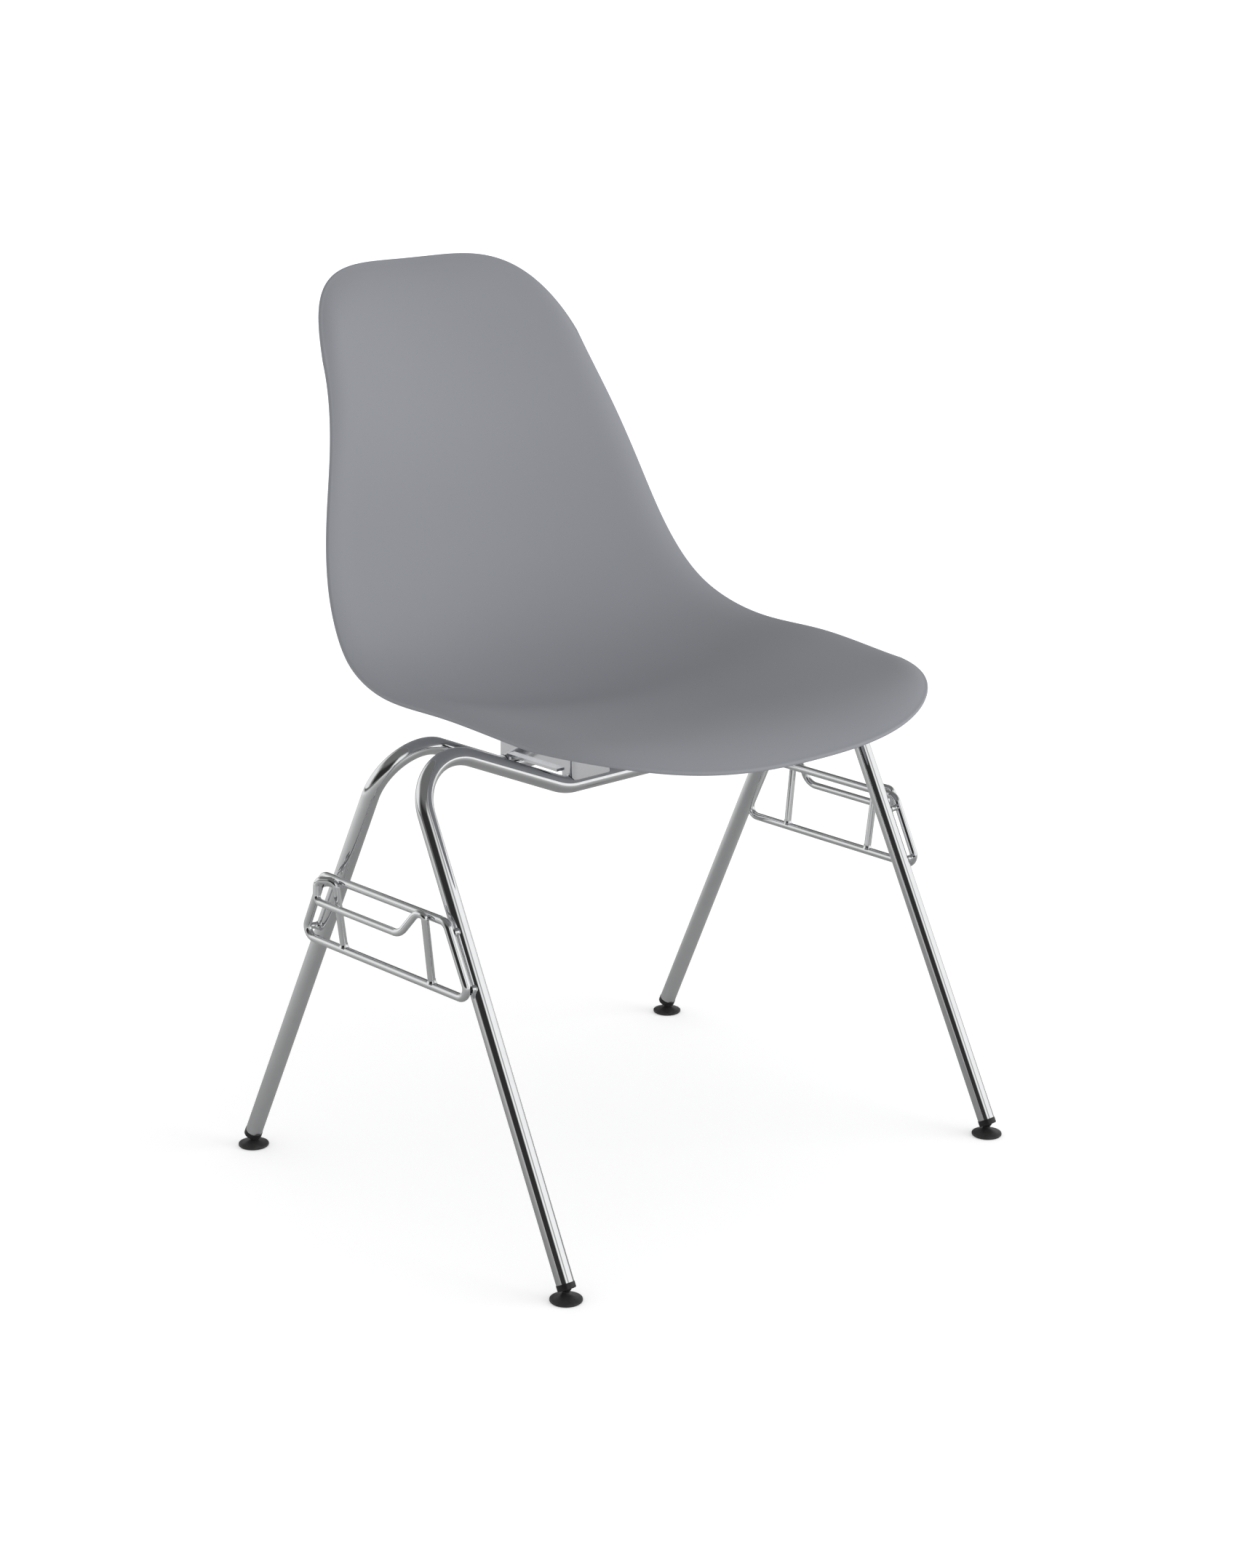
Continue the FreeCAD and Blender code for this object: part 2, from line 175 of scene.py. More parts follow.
# Node helpers
def newTree(name):
    material = bpy.data.materials.new(name)
    material.use_nodes = True
    tree = material.node_tree
    shader = tree.nodes["Principled BSDF"]
    coordinates = tree.nodes.new("ShaderNodeTexCoord")
    return material, tree, shader, coordinates.outputs["Object"]


def feed(tree, socket, value):
    # Links another node's output, or sets a plain value
    if hasattr(value, "is_linked"):
        tree.links.new(value, socket)
    else:
        socket.default_value = value


def addNode(tree, kind, settings=None, **inputs):
    node = tree.nodes.new(kind)
    for key, value in (settings or {}).items():
        setattr(node, key, value)
    for key, value in inputs.items():
        feed(tree, node.inputs[key], value)
    return node


def mathNode(tree, operation, *values, clamp=False):
    node = addNode(tree, "ShaderNodeMath", {"operation": operation, "use_clamp": clamp})
    for socket, value in zip(node.inputs, values):
        feed(tree, socket, value)
    return node.outputs[0]


def blendColours(tree, mask, first, second):
    # Sockets 0, 6 and 7 are the factor and the two colours
    node = addNode(tree, "ShaderNodeMix", {"data_type": "RGBA"})
    for index, value in ((0, mask), (6, first), (7, second)):
        feed(tree, node.inputs[index], value)
    return node.outputs[2]


def remap(tree, value, *limits):
    # From the range of the first two limits to the range of the last two
    node = addNode(tree, "ShaderNodeMapRange", Value=value)
    for key, limit in zip(("From Min", "From Max", "To Min", "To Max"), limits):
        node.inputs[key].default_value = limit
    return node.outputs["Result"]


def bumpOn(tree, shader, height, distance, strength=1.0):
    bump = addNode(tree, "ShaderNodeBump", Strength=strength, Distance=distance, Height=height)
    tree.links.new(bump.outputs["Normal"], shader.inputs["Normal"])


def grey(value):
    return (value, value, value, 1.0)


def newGroup(name, inputs, outputs):
    group = bpy.data.node_groups.new(name, "ShaderNodeTree")
    for way, sockets in (("INPUT", inputs), ("OUTPUT", outputs)):
        for label, kind in sockets.items():
            group.interface.new_socket(label, in_out=way, socket_type="NodeSocket" + kind)
    return group, group.nodes.new("NodeGroupInput"), group.nodes.new("NodeGroupOutput")


def useGroup(tree, group, place, **values):
    return addNode(tree, "ShaderNodeGroup", {"node_tree": group}, Vector=place, **values)


# Moulded skin: pebbled grain height from two noises, and a slow cloudy mask
def mouldedSkinGroup():
    group, source, sink = newGroup("mouldedSkin", {"Vector": "Vector", "Grain": "Float"},
                                   {"Height": "Float", "Clouds": "Float"})
    place = source.outputs["Vector"]
    grain = source.outputs["Grain"]
    fine = addNode(group, "ShaderNodeTexNoise", Vector=place, Scale=grain, Detail=3.0, Roughness=0.6)
    pebble = addNode(group, "ShaderNodeTexVoronoi", {"feature": "SMOOTH_F1"}, Vector=place, Scale=grain,
                     Smoothness=0.8)
    clouds = addNode(group, "ShaderNodeTexNoise", Vector=place, Scale=5.0, Detail=2.0)
    height = mathNode(group, "ADD", fine.outputs["Fac"], pebble.outputs["Distance"])
    feed(group, sink.inputs["Height"], height)
    feed(group, sink.inputs["Clouds"], clouds.outputs["Fac"])
    return group


# Handled metal: soft smears, and fine hairlines drawn out along one direction
def handledMetalGroup():
    group, source, sink = newGroup("handledMetal", {"Vector": "Vector", "Stretch": "Vector"},
                                   {"Smears": "Float", "Hairlines": "Float"})
    place = source.outputs["Vector"]
    smears = addNode(group, "ShaderNodeTexNoise", Vector=place, Scale=38.0, Detail=4.0, Roughness=0.65,
                     Distortion=0.6)
    stretched = addNode(group, "ShaderNodeVectorMath", {"operation": "MULTIPLY"})
    feed(group, stretched.inputs[0], place)
    feed(group, stretched.inputs[1], source.outputs["Stretch"])
    hairlines = addNode(group, "ShaderNodeTexNoise", Vector=stretched.outputs[0], Scale=400.0, Detail=2.0)
    feed(group, sink.inputs["Smears"], smears.outputs["Fac"])
    feed(group, sink.inputs["Hairlines"], hairlines.outputs["Fac"])
    return group


# Floor dust: a mask that fades out with height above the floor, broken up by noise
def floorDustGroup():
    group, source, sink = newGroup("floorDust", {"Vector": "Vector", "Reach": "Float"}, {"Mask": "Float"})
    place = source.outputs["Vector"]
    parts = addNode(group, "ShaderNodeSeparateXYZ", Vector=place)
    fade = mathNode(group, "DIVIDE", parts.outputs["Z"], source.outputs["Reach"], clamp=True)
    low = mathNode(group, "SUBTRACT", 1.0, fade)
    patches = addNode(group, "ShaderNodeTexNoise", Vector=place, Scale=160.0, Detail=4.0)
    feed(group, sink.inputs["Mask"], mathNode(group, "MULTIPLY", low, patches.outputs["Fac"]))
    return group


mouldedSkin = mouldedSkinGroup()
handledMetal = handledMetalGroup()
floorDust = floorDustGroup()
print("node groups made")

# Materials
shellLook = {"light": (0.268, 0.277, 0.300, 1), "deep": (0.248, 0.257, 0.279, 1), "roughness": (0.44, 0.51),
             "shine": 0.42, "grain": 1400.0, "grainDepth": 0.00003}
chromeLook = {"colour": (0.90, 0.905, 0.91, 1), "smeared": (0.80, 0.81, 0.82, 1), "roughness": (0.015, 0.05),
              "wearRange": (0.4, 0.65), "hairlineShare": 0.25, "dustReach": 0.09, "dustRoughness": 0.12}
glideLook = {"colour": (0.012, 0.012, 0.013, 1), "dusty": (0.06, 0.058, 0.055, 1), "roughness": (0.22, 0.36),
             "grain": 2200.0, "grainDepth": 0.00001, "dustReach": 0.012}
bracketLook = {"colour": (0.84, 0.845, 0.86, 1), "dark": (0.70, 0.705, 0.72, 1), "roughness": (0.10, 0.20)}
rubberLook = {"colour": (0.016, 0.016, 0.017, 1), "worn": (0.034, 0.034, 0.035, 1), "roughness": (0.62, 0.8),
              "grain": 1100.0, "grainDepth": 0.00005}
screwLook = {"colour": (0.46, 0.47, 0.48, 1), "dark": (0.30, 0.31, 0.33, 1), "roughness": (0.25, 0.42)}
brassLook = {"colour": (0.62, 0.43, 0.16, 1), "dark": (0.42, 0.27, 0.09, 1), "roughness": (0.28, 0.42)}
dentDepth = 0.00002
# What a noise mask mostly spans
maskRange = (0.3, 0.7)


def shellPlastic():
    material, tree, shader, place = newTree("shellPlastic")
    skin = useGroup(tree, mouldedSkin, place, Grain=shellLook["grain"])
    colour = blendColours(tree, skin.outputs["Clouds"], shellLook["deep"], shellLook["light"])
    tree.links.new(colour, shader.inputs["Base Color"])
    rough = remap(tree, skin.outputs["Clouds"], *maskRange, *shellLook["roughness"])
    tree.links.new(rough, shader.inputs["Roughness"])
    shader.inputs["Specular IOR Level"].default_value = shellLook["shine"]
    bumpOn(tree, shader, skin.outputs["Height"], shellLook["grainDepth"], 0.5)
    return material


def chrome(name, stretch):
    material, tree, shader, place = newTree(name)
    metal = useGroup(tree, handledMetal, place, Stretch=stretch)
    dust = useGroup(tree, floorDust, place, Reach=chromeLook["dustReach"])
    smears, hairlines = metal.outputs["Smears"], metal.outputs["Hairlines"]
    colour = blendColours(tree, smears, chromeLook["colour"], chromeLook["smeared"])
    tree.links.new(colour, shader.inputs["Base Color"])
    wear = blendColours(tree, chromeLook["hairlineShare"], smears, hairlines)
    smeared = remap(tree, wear, *chromeLook["wearRange"], *chromeLook["roughness"])
    dusty = mathNode(tree, "MULTIPLY_ADD", dust.outputs["Mask"], chromeLook["dustRoughness"], smeared)
    tree.links.new(dusty, shader.inputs["Roughness"])
    shader.inputs["Metallic"].default_value = 1.0
    return material


def glidePlastic():
    material, tree, shader, place = newTree("glidePlastic")
    skin = useGroup(tree, mouldedSkin, place, Grain=glideLook["grain"])
    dust = useGroup(tree, floorDust, place, Reach=glideLook["dustReach"])
    colour = blendColours(tree, dust.outputs["Mask"], glideLook["colour"], glideLook["dusty"])
    tree.links.new(colour, shader.inputs["Base Color"])
    rough = remap(tree, skin.outputs["Clouds"], *maskRange, *glideLook["roughness"])
    tree.links.new(rough, shader.inputs["Roughness"])
    bumpOn(tree, shader, skin.outputs["Height"], glideLook["grainDepth"], 0.4)
    return material


def plainMetal(name, look, stretch):
    material, tree, shader, place = newTree(name)
    metal = useGroup(tree, handledMetal, place, Stretch=stretch)
    colour = blendColours(tree, metal.outputs["Smears"], look["colour"], look["dark"])
    tree.links.new(colour, shader.inputs["Base Color"])
    rough = remap(tree, metal.outputs["Smears"], *maskRange, *look["roughness"])
    tree.links.new(rough, shader.inputs["Roughness"])
    shader.inputs["Metallic"].default_value = 1.0
    bumpOn(tree, shader, metal.outputs["Smears"], dentDepth, 0.4)
    return material


def mountRubber():
    material, tree, shader, place = newTree("mountRubber")
    skin = useGroup(tree, mouldedSkin, place, Grain=rubberLook["grain"])
    colour = blendColours(tree, skin.outputs["Clouds"], rubberLook["colour"], rubberLook["worn"])
    tree.links.new(colour, shader.inputs["Base Color"])
    rough = remap(tree, skin.outputs["Clouds"], *maskRange, *rubberLook["roughness"])
    tree.links.new(rough, shader.inputs["Roughness"])
    bumpOn(tree, shader, skin.outputs["Height"], rubberLook["grainDepth"], 0.6)
    return material


plasticSkin = shellPlastic()
tubeChrome = chrome("tubeChrome", (1.0, 1.0, 0.03))
rodChrome = chrome("rodChrome", (1.0, 0.03, 1.0))
glideBlack = glidePlastic()
bracketMetal = plainMetal("bracketMetal", bracketLook, (1.0, 0.05, 1.0))
screwMetal = plainMetal("screwMetal", screwLook, (1.0, 1.0, 1.0))
insertMetal = plainMetal("insertMetal", brassLook, (1.0, 1.0, 0.1))
mountBlack = mountRubber()
print("materials made")

# Legs. A leg's centre line starts at its foot and changes by toeIn in x and lean in y for each mm up
legs = {"tubeRadius": 7.95, "footX": (268.9, 268.7), "footY": (-235.6, 222.6), "toeIn": (-0.018, -0.025),
        "lean": (0.505, -0.478), "shoulderZ": 446.0, "crossX": 107.0, "crossY": (-44.0, 44.0),
        "crossZ": 381.0, "bend": 45.0, "ballZ": 13.0}


def legPoint(end, side, z):
    return np.array([side * (legs["footX"][end] + legs["toeIn"][end] * z),
                     legs["footY"][end] + legs["lean"][end] * z, z])


def legAxis(end, side):
    return unitRows(legPoint(end, side, 1.0) - legPoint(end, side, 0.0))


footLow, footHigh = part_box("glide_foot_front_left")
shiftY = (footLow.y + footHigh.y) / 2 / metresPerMm - legPoint(0, -1, legs["ballZ"])[1]

glides = {"ballRadius": 5.0, "neck": 3.1, "footRadius": 14.3, "rimHeight": 2.4, "collarRadius": 8.3,
          "collarBelow": 2.5, "collarAbove": 3.0, "seam": 0.05, "socketPlay": 0.4}


def legTube(end):
    tubeStart = glides["collarAbove"] + glides["seam"]
    corners = []
    for side in (-1, 1):
        foot = legPoint(end, side, legs["ballZ"]) + legAxis(end, side) * tubeStart
        shoulder = legPoint(end, side, legs["shoulderZ"])
        cross = np.array([side * legs["crossX"], legs["crossY"][end], legs["crossZ"]])
        run = [foot, shoulder, cross]
        corners += run if side < 0 else run[::-1]
    return sweptRod(bentPath(corners, [legs["bend"]] * 4, step=2.5), legs["tubeRadius"], 48)


for end in (0, 1):
    tube = makePiece(endWords[end] + "LegTube", legTube(end))
    finishPiece(tube, tubeChrome, "chair", "chrome_tube", endWords[end] + "_leg_tube")
print("leg tubes made")

# Glides: a collared plug in each tube end, and a round foot whose ball tilts in it


def glideCollar(end, side):
    r = glides["collarRadius"]
    low = -glides["collarBelow"]
    high = glides["collarAbove"]
    mouth = glides["ballRadius"] + glides["socketPlay"]
    corners = [(mouth - 1.0, low + 1.2), (mouth, low), (r, low), (r, high), (legs["tubeRadius"] - 2.0, high)]
    return turned(rounded(corners, [0.4, 0.7, 0.4]), legPoint(end, side, legs["ballZ"]), legAxis(end, side))


def glideFoot(end, side):
    centre = legPoint(end, side, legs["ballZ"])
    base = np.array([centre[0], centre[1], 0.0])
    r = glides["footRadius"]
    rim = glides["rimHeight"]
    neck = glides["neck"]
    # From the hollow underside round the rim, over the dome and up the neck into the ball
    corners = [(0, 0.6), (r - 3.0, 0.6), (r - 2.4, 0.0), (r - 0.9, 0.0), (r, 0.9), (r, rim),
               (r - 3.4, rim + 1.1), (r - 7.1, rim + 2.8), (neck + 1.5, rim + 4.2), (neck, rim + 5.8),
               (neck, legs["ballZ"] - 4.0)]
    dome = turned(rounded(corners, [0.2, 0.2, 0.4, 0.6, 0.8, 1.5, 5.0, 1.0, 0.6]), base, (0, 0, 1))
    t = np.linspace(-math.pi / 2, math.pi / 2, 25)
    ball = np.stack([glides["ballRadius"] * np.cos(t), glides["ballRadius"] * np.sin(t)], -1)
    return joined([dome, turned(ball, centre, (0, 0, 1))])


for end in (0, 1):
    for side in (-1, 1):
        place = endWords[end] + "_" + sideWords[side]
        collar = makePiece("glideCollar_" + place, glideCollar(end, side))
        finishPiece(collar, glideBlack, "chair", "glide_plastic", "glide_plug_" + place)
        foot = makePiece("glideFoot_" + place, glideFoot(end, side), 50.0)
        finishPiece(foot, glideBlack, "foot_" + place, "glide_plastic", "glide_foot_" + place)
print("glides made")

# Ganging loops: one closed rod outside each pair of legs, welded to them at four short stubs
loops = {"rodRadius": 3.75, "x": 279.5, "topZ": 303.9, "lowZ": 240.8, "out": 6.0, "bend": 9.5,
         "stubRadius": 3.0, "stubInset": 9.0, "stubFlare": 1.4, "stubStart": 1.5, "stubSink": 0.9}


def loopPoint(end, side, z):
    out = (-loops["out"], loops["out"])[end]
    return np.array([side * loops["x"], legPoint(end, side, z)[1] + out, z])


def weldStub(end, side, z):
    # A short neck that flares into the rod at one end and into the tube at the other
    start = loopPoint(end, side, z)
    onAxis = legPoint(end, side, z)
    along = legAxis(end, side)
    near = onAxis + along * ((start - onAxis) @ along)
    reach = np.linalg.norm(near - start) - legs["tubeRadius"] + loops["stubSink"] - loops["stubStart"]
    s = np.linspace(0, 1, 13)
    waist = loops["stubRadius"] + loops["stubFlare"] * np.abs(2 * s - 1) ** 2.5
    profile = np.stack([waist, loops["stubStart"] + s * reach], -1)
    return turned(profile, start, unitRows(near - start), 32)


def gangLoop(side):
    corners = [loopPoint(0, side, loops["lowZ"]), loopPoint(0, side, loops["topZ"]),
               loopPoint(1, side, loops["topZ"]), loopPoint(1, side, loops["lowZ"])]
    rod = sweptRod(bentPath(corners, [loops["bend"]] * 4, closed=True), loops["rodRadius"], closed=True)
    heights = (loops["lowZ"] + loops["stubInset"], loops["topZ"] - loops["stubInset"])
    stubs = [weldStub(end, side, z) for end in (0, 1) for z in heights]
    return joined([rod] + stubs)


# Ganging hooks: one rod each, up a strut from the low bar, over the top bar, along outside it and down
hooks = {"rodRadius": 3.4, "out": 15.0, "runZ": 285.0, "over": 2.5, "lean": 1.0, "lip": 9.0, "gap": 0.3,
         "strutBend": 3.6, "lipBend": 9.5, "bend": 13.0, "endBend": 6.0,
         "weldFlare": 1.3, "weldHeight": 4.0, "weldSink": 1.2,
         # y at the front and the rear, for the struts and the ends of the outer run
         -1: {"strut": (-67.5, 55.0), "run": (-43.0, 74.0)},
         1: {"strut": (-53.5, 55.5), "run": (-72.0, 43.0)}}


def hookEnd(side, end):
    # Corners and bend radii from the weld on the low bar to the outer run, for one end of a hook
    strut = hooks[side]["strut"][end]
    run = hooks[side]["run"][end]
    outward = (-1, 1)[end]
    lean = hooks["lean"]
    topX = loops["x"] + loops["rodRadius"] + hooks["rodRadius"] + 2 * hooks["gap"]
    topZ = loops["topZ"] + hooks["over"]
    runX = loops["x"] + hooks["out"]
    low = (side * loops["x"], strut, loops["lowZ"] + loops["rodRadius"])
    top = (side * topX, strut + outward * lean, topZ)
    turn = (side * runX, run, hooks["runZ"])
    if outward * (run - strut) > 0:
        over = (side * (runX - lean), run, topZ - 2 * lean)
        return [low, top, over, turn], [hooks["endBend"]] * 3
    lip = (side * (topX + lean), strut - outward * hooks["lip"], topZ)
    return [low, top, lip, turn], [hooks["strutBend"], hooks["lipBend"], hooks["bend"]]


def gangHook(side):
    rear, rearBends = hookEnd(side, 1)
    front, frontBends = hookEnd(side, 0)
    path = bentPath(rear + front[::-1], rearBends + frontBends[::-1])
    s = np.linspace(0, 1, 9)
    widths = hooks["rodRadius"] + hooks["weldFlare"] * (1 - s) ** 2
    bead = np.stack([widths, s * hooks["weldHeight"] - hooks["weldSink"]], -1)
    welds = [turned(bead, low, (0, 0, 1), 32) for low in (rear[0], front[0])]
    return joined([sweptRod(path, hooks["rodRadius"], 28)] + welds)


for side in (-1, 1):
    loop = makePiece("gangLoop_" + sideWords[side], gangLoop(side), 60.0)
    finishPiece(loop, rodChrome, "chair", "chrome_rod", "gang_loop_" + sideWords[side])
    hook = makePiece("gangHook_" + sideWords[side], gangHook(side), 60.0)
    finishPiece(hook, rodChrome, "chair", "chrome_rod", "gang_hook_" + sideWords[side])
print("ganging loops and hooks made")

# Shell
shell = {"thick": 4.6, "bossRadius": 11.0, "bossBore": 4.6, "bossFlare": 3.0, "bossLowZ": 424.0,
         "mountX": 80.0, "mountY": 31.0,
         # (y, z) of the middle line, from the front edge to the top of the back
         "line": ((-252.5, 441.5), (-199, 453.5), (-125.5, 453), (-23.5, 441.5), (56, 431.5), (139.5, 456),
                  (191.5, 525), (222, 648.5), (290.5, 807.5)),
         # half width and rise of the sides, at eight even stations along that line
         "halfWidth": (225, 228, 233, 229, 213, 188, 155, 146),
         "sideRise": (8, 13, 32, 46, 46, 38, 28, 17),
         # the rolled lip, and the round ends as depth along the line and power
         "lipDrop": 8.0, "lipStart": 0.80, "lipLength": 0.075,
         "frontEnd": (0.17, 2.6), "topEnd": (0.14, 4.0), "cornerFill": 0.995,
         "columns": 128, "lines": 176, "spread": 1.4, "pull": 0.4, "rimSteps": 10}


def naturalSpline(xs, ys):
    # Natural cubic through the stations, for whole arrays
    xs = np.asarray(xs, float)
    ys = np.asarray(ys, float)
    h = np.diff(xs)
    count = len(xs)
    matrix = np.eye(count)
    rhs = np.zeros(count)
    for i in range(1, count - 1):
        matrix[i, i - 1:i + 2] = h[i - 1], 2 * (h[i - 1] + h[i]), h[i]
        rhs[i] = 6 * ((ys[i + 1] - ys[i]) / h[i] - (ys[i] - ys[i - 1]) / h[i - 1])
    m = np.linalg.solve(matrix, rhs)

    def value(x):
        i = np.clip(np.searchsorted(xs, x, side="right") - 1, 0, count - 2)
        a = (xs[i + 1] - x) / h[i]
        b = (x - xs[i]) / h[i]
        return a * ys[i] + b * ys[i + 1] + ((a ** 3 - a) * m[i] + (b ** 3 - b) * m[i + 1]) * h[i] ** 2 / 6
    return value


def past(value, start):
    return np.maximum(0, (value - start) / (1 - start)) ** 3


def shellSkin(rho, v):
    # Line point + rho W(t) across + n (rise(t) rho^2 - drop lip), with n square to the middle line.
    # Both ends are superellipses: t = t0 + (t1 - t0) v, t0 = depth (1 - sqrt(1 - (fill |rho|)^power))
    line = np.array(shell["line"], float)
    lineT = np.concatenate([[0], np.cumsum(np.linalg.norm(np.diff(line, axis=0), axis=1))])
    lineT /= lineT[-1]
    lineY = naturalSpline(lineT, line[:, 0])
    lineZ = naturalSpline(lineT, line[:, 1])
    evenT = np.linspace(0, 1, len(shell["halfWidth"]))
    a = np.abs(rho)
    (frontDepth, frontPower), (topDepth, topPower) = shell["frontEnd"], shell["topEnd"]
    t0 = frontDepth * (1 - np.sqrt(1 - (shell["cornerFill"] * a) ** frontPower))
    t1 = 1 - topDepth * (1 - np.sqrt(1 - (shell["cornerFill"] * a) ** topPower))
    t = t0 + (t1 - t0) * v
    dy = lineY(np.minimum(t + 1e-4, 1)) - lineY(np.maximum(t - 1e-4, 0))
    dz = lineZ(np.minimum(t + 1e-4, 1)) - lineZ(np.maximum(t - 1e-4, 0))
    normal = unitRows(np.stack([np.zeros_like(t), -dz, dy], -1))
    endLip = past(v, 1 - shell["lipLength"]) + past(1 - v, 1 - shell["lipLength"])
    lip = 1 - (1 - past(a, shell["lipStart"])) * (1 - endLip)
    width = naturalSpline(evenT, shell["halfWidth"])(t)
    rise = naturalSpline(evenT, shell["sideRise"])(t) * a ** 2 - shell["lipDrop"] * lip
    return np.stack([rho * width, lineY(t), lineZ(t)], -1) + normal * rise[..., None], normal


def undersideAt(x, y):
    # Height of the lower skin over a point, from the nearest point of a fine grid
    rho, v = np.meshgrid(np.linspace(-0.6, 0.6, 121), np.linspace(0.05, 0.5, 181))
    skin, normal = shellSkin(rho, v)
    lower = (skin - normal * shell["thick"]).reshape(-1, 3)
    return lower[np.argmin(np.hypot(lower[:, 0] - x, lower[:, 1] - y)), 2]


def seatShell():
    columns, lines = shell["columns"], shell["lines"]
    # Rows and columns draw together towards the rim
    s = np.linspace(-1, 1, columns + 1) * shell["spread"]
    j = np.linspace(0, 1, lines + 1)
    vs = shell["pull"] * (1 - np.cos(math.pi * j)) / 2 + (1 - shell["pull"]) * j
    rho, v = np.meshgrid(np.sin(s) / math.sin(shell["spread"]), vs)
    upper, normal = shellSkin(rho, v)
    lower = upper - normal * shell["thick"]
    index = np.arange((lines + 1) * (columns + 1)).reshape(lines + 1, columns + 1)
    border = np.concatenate([index[0, :-1], index[:-1, -1], index[-1, :0:-1], index[:0:-1, 0]])
    top = upper.reshape(-1, 3)[border]
    bottom = lower.reshape(-1, 3)[border]
    along = unitRows(np.roll(top, -1, 0) - np.roll(top, 1, 0))
    up = unitRows(top - bottom)
    out = unitRows(np.cross(along, up))
    # The rim is a half round between the two skins: middle + r (up sin(a) + out cos(a))
    a = np.linspace(math.pi / 2, -math.pi / 2, shell["rimSteps"] + 1)[:, None, None]
    rim = (top + bottom) / 2 + (up * np.sin(a) + out * np.cos(a)) * shell["thick"] / 2
    skinFaces = gridFaces(lines + 1, columns + 1).tolist()
    rimFaces = gridFaces(shell["rimSteps"] + 1, len(border), wrapColumns=True).tolist()
    return joined([(upper.reshape(-1, 3), skinFaces), (lower.reshape(-1, 3), skinFaces),
                   (rim.reshape(-1, 3), rimFaces)])


def seatBosses():
    # Each boss flares as it meets the underside, and stops inside the wall of the shell
    parts = []
    for x in (-shell["mountX"], shell["mountX"]):
        for y in (-shell["mountY"], shell["mountY"]):
            low = shell["bossLowZ"]
            high = undersideAt(x, y) + shell["thick"] / 2
            r = shell["bossRadius"]
            corners = [(shell["bossBore"], low), (r, low), (r - 0.4, high - 6),
                       (r + shell["bossFlare"], high - 2)]
            parts.append(turned(rounded(corners, [0.8, 4.0]), (x, y, 0), (0, 0, 1), 48))
    return joined(parts)


seat = makePiece("seatShell", seatShell(), 80.0)
finishPiece(seat, plasticSkin, "chair", "shell_plastic", "seat_shell")
finishPiece(makePiece("seatBosses", seatBosses()), plasticSkin, "chair", "shell_plastic")
print("shell made")

# Under the seat: the rubber mounts are turned, and brackets, screws, washers and inserts carry over
mounts = {"rubberRadius": 16.0, "waist": 4.0, "lowZ": 408.0, "highZ": 424.0, "bore": 3.3}


def rubberMount(x, y):
    r = mounts["rubberRadius"]
    rim = r - mounts["waist"] / 4
    low, high = mounts["lowZ"], mounts["highZ"]
    middle = (r - mounts["waist"], (low + high) / 2)
    corners = [(mounts["bore"], low), (r, low), (r, low + 3.6), middle, (rim, high - 3.4), (rim, high),
               (mounts["bore"], high)]
    return turned(rounded(corners, [0.8, 1.0, 4.0, 1.0, 0.8]), (x, y, 0), (0, 0, 1), 48)


for end in (0, 1):
    for side in (-1, 1):
        place = endWords[end] + "_" + sideWords[side]
        rubber = rubberMount(side * shell["mountX"], (-1, 1)[end] * shell["mountY"])
        finishPiece(makePiece("rubberMount_" + place, rubber), mountBlack, "chair", "mount_rubber",
                    "rubber_mount_" + place)

carriedOver = {"bracket_left": bracketMetal, "bracket_right": bracketMetal, "mount_screws": screwMetal,
               "mount_washers": screwMetal, "threaded_inserts": insertMetal}
for name, material in carriedOver.items():
    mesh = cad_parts[name].data
    mesh.materials.clear()
    mesh.materials.append(material)
print("mounts made and carried-over nodes finished")

# Studio. Levels are linear; the metal ones are what chrome mirrors, where the camera sees white
studio = {"floorSize": 80.0, "floor": 0.93, "nearGlow": 0.28, "farGlow": 0.6, "glowReach": (0.5, 3.0),
          # the floor that chrome mirrors carries painted shade near the chair and a painted flag shadow
          "metalFloorShade": (0.30, 0.88), "metalReach": (0.35, 3.0), "metalLift": 0.14, "liftReach": (-0.5, 0.7),
          "flagReach": (-3.6, -1.9), "flagShade": 0.2,
          "horizon": 0.95, "zenith": 0.72, "zenithAt": 0.9, "metalZenith": 0.16, "metalBand": (0.45, 0.70),
          # round the horizon from behind, by the left, the front and the right: white walls and a dark flag
          "metalRound": ((0.0, 0.9), (0.15, 0.85), (0.195, 0.25), (0.24, 0.03), (0.40, 0.03), (0.42, 0.12),
                         (0.44, 0.95), (0.485, 0.95), (0.505, 0.36), (0.525, 0.36), (0.545, 1.0),
                         (0.72, 1.0), (0.80, 0.6), (0.87, 0.14), (0.93, 0.14), (1.0, 0.9)),
          "lampPlace": (2.4, -3.2, 1.2), "lampTarget": (0, 0, 0.5), "lampSize": (3.4, 2.2),
          "lampPower": 68.0}


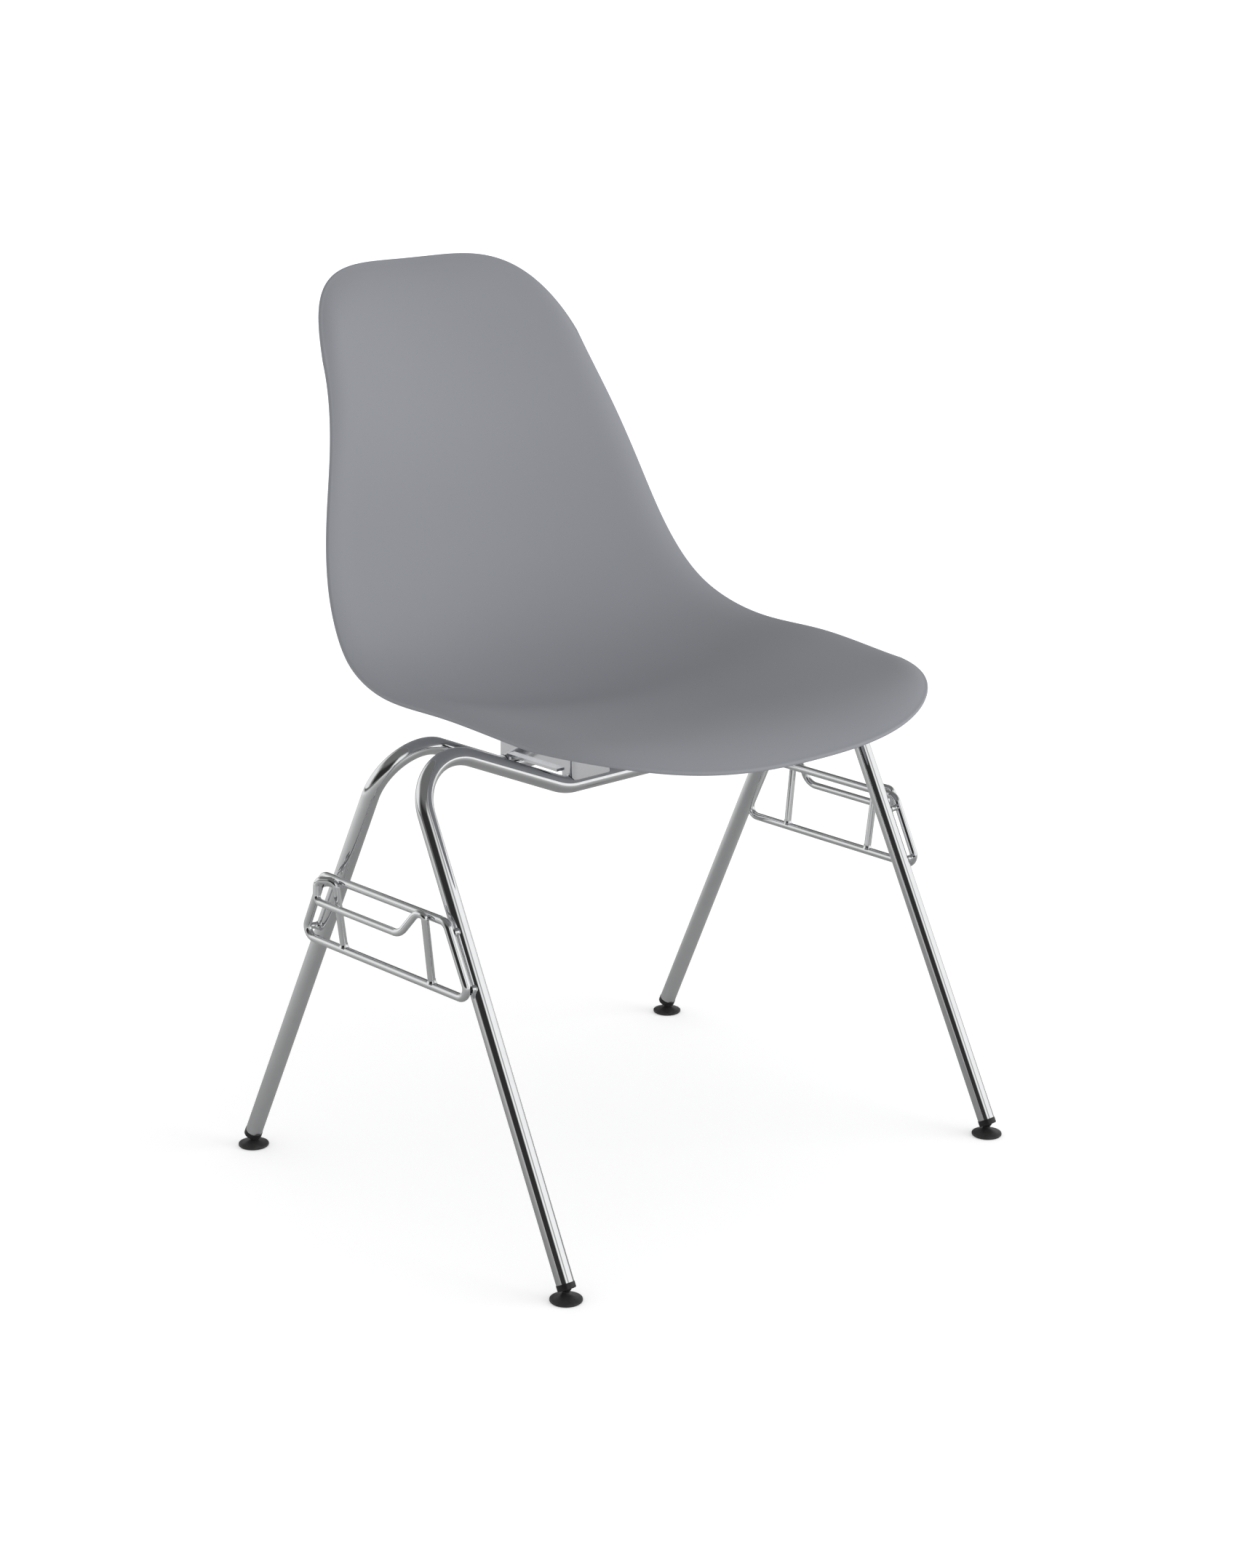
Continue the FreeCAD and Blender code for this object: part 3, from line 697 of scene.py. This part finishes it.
def studioFloor():
    half = studio["floorSize"] / 2
    mesh = bpy.data.meshes.new("studioFloor")
    corners = [(-half, -half, 0), (half, -half, 0), (half, half, 0), (-half, half, 0)]
    mesh.from_pydata(corners, [], [(0, 1, 2, 3)])
    floor = bpy.data.objects.new("studioFloor", mesh)
    bpy.context.scene.collection.objects.link(floor)
    material, tree, shader, place = newTree("studioFloor")
    rays = addNode(tree, "ShaderNodeLightPath")
    away = addNode(tree, "ShaderNodeVectorMath", {"operation": "LENGTH"})
    tree.links.new(place, away.inputs[0])
    # Chrome mirrors a grey floor with painted shade, darker near the chair and towards the front
    parts = addNode(tree, "ShaderNodeSeparateXYZ", Vector=place)
    ground = remap(tree, away.outputs["Value"], *studio["metalReach"], *studio["metalFloorShade"])
    lift = remap(tree, parts.outputs["Y"], *studio["liftReach"], 0.0, studio["metalLift"])
    mirrored = mathNode(tree, "ADD", ground, lift)
    # Painted shadow of the dark flag: the floor far out on the left is dark in the chrome too
    shade = remap(tree, parts.outputs["X"], *studio["flagReach"], studio["flagShade"], 1.0)
    mirroredFloorShaded = mathNode(tree, "MULTIPLY", mirrored, shade)
    colour = blendColours(tree, rays.outputs["Is Glossy Ray"], grey(studio["floor"]), mirroredFloorShaded)
    tree.links.new(colour, shader.inputs["Base Color"])
    # A faint glow that only the camera sees, stronger away from the chair, takes the floor to white
    glow = remap(tree, away.outputs["Value"], *studio["glowReach"], studio["nearGlow"], studio["farGlow"])
    seen = blendColours(tree, rays.outputs["Is Camera Ray"], grey(0.0), glow)
    tree.links.new(seen, shader.inputs["Emission Color"])
    shader.inputs["Emission Strength"].default_value = 1.0
    shader.inputs["Roughness"].default_value = 1.0
    shader.inputs["Specular IOR Level"].default_value = 0.0
    mesh.materials.append(material)


def studioWorld():
    # White to the camera, soft and brighter at the horizon for the plastic, walls and a flag for the chrome
    world = bpy.data.worlds.new("studioWorld")
    bpy.context.scene.world = world
    world.use_nodes = True
    tree = world.node_tree
    background = tree.nodes["Background"]
    place = addNode(tree, "ShaderNodeTexCoord")
    parts = addNode(tree, "ShaderNodeSeparateXYZ", Vector=place.outputs["Generated"])
    ahead = mathNode(tree, "MULTIPLY", parts.outputs["Y"], -1.0)
    turn = mathNode(tree, "ARCTAN2", parts.outputs["X"], ahead)
    ramp = addNode(tree, "ShaderNodeValToRGB", Fac=remap(tree, turn, -math.pi, math.pi, 0, 1))
    elements = ramp.color_ramp.elements
    while len(elements) < len(studio["metalRound"]):
        elements.new(0.5)
    for element, (position, value) in zip(elements, studio["metalRound"]):
        element.position = position
        element.color = grey(value)
    above = remap(tree, parts.outputs["Z"], *studio["metalBand"], 0, 1)
    mirrored = blendColours(tree, above, ramp.outputs["Color"], grey(studio["metalZenith"]))
    up = remap(tree, parts.outputs["Z"], 0, studio["zenithAt"], 0, 1)
    soft = blendColours(tree, up, grey(studio["horizon"]), grey(studio["zenith"]))
    rays = addNode(tree, "ShaderNodeLightPath")
    lit = blendColours(tree, rays.outputs["Is Glossy Ray"], soft, mirrored)
    seen = blendColours(tree, rays.outputs["Is Camera Ray"], lit, grey(1.0))
    tree.links.new(seen, background.inputs["Color"])


def studioLamp():
    data = bpy.data.lights.new("keyLight", "AREA")
    data.shape = "RECTANGLE"
    data.size, data.size_y = studio["lampSize"]
    data.energy = studio["lampPower"]
    lamp = bpy.data.objects.new("keyLight", data)
    bpy.context.scene.collection.objects.link(lamp)
    # Chrome mirrors the world's white walls instead of the lamp
    lamp.visible_glossy = False
    place = Vector(studio["lampPlace"])
    lamp.location = place
    lamp.rotation_euler = (Vector(studio["lampTarget"]) - place).to_track_quat("-Z", "Y").to_euler()


studioFloor()
studioWorld()
studioLamp()
print("studio made")

# Camera, at the photograph's angle
view = {"target": (9.4, 0.0, 349.7), "azimuth": -42.74, "elevation": 16.51, "roll": 0.40,
        "distance": 2861.9, "lens": 71.2, "filmWidth": 36.0}


def studioCamera():
    a, e, r = [math.radians(view[key]) for key in ("azimuth", "elevation", "roll")]
    back = Vector((math.sin(a) * math.cos(e), -math.cos(a) * math.cos(e), math.sin(e)))
    level = Vector((math.cos(a), math.sin(a), 0))
    up = back.cross(level)
    right = level * math.cos(r) + up * math.sin(r)
    data = bpy.data.cameras.new("studioCamera")
    data.lens = view["lens"]
    data.sensor_width = view["filmWidth"]
    camera = bpy.data.objects.new("studioCamera", data)
    bpy.context.scene.collection.objects.link(camera)
    turn = Matrix((right, back.cross(right), back)).transposed().to_4x4()
    place = Vector(view["target"]) + Vector((0, shiftY, 0)) + back * view["distance"]
    camera.matrix_world = Matrix.Translation(place * metresPerMm) @ turn
    bpy.context.scene.camera = camera


studioCamera()
bpy.context.scene.view_settings.view_transform = "Standard"
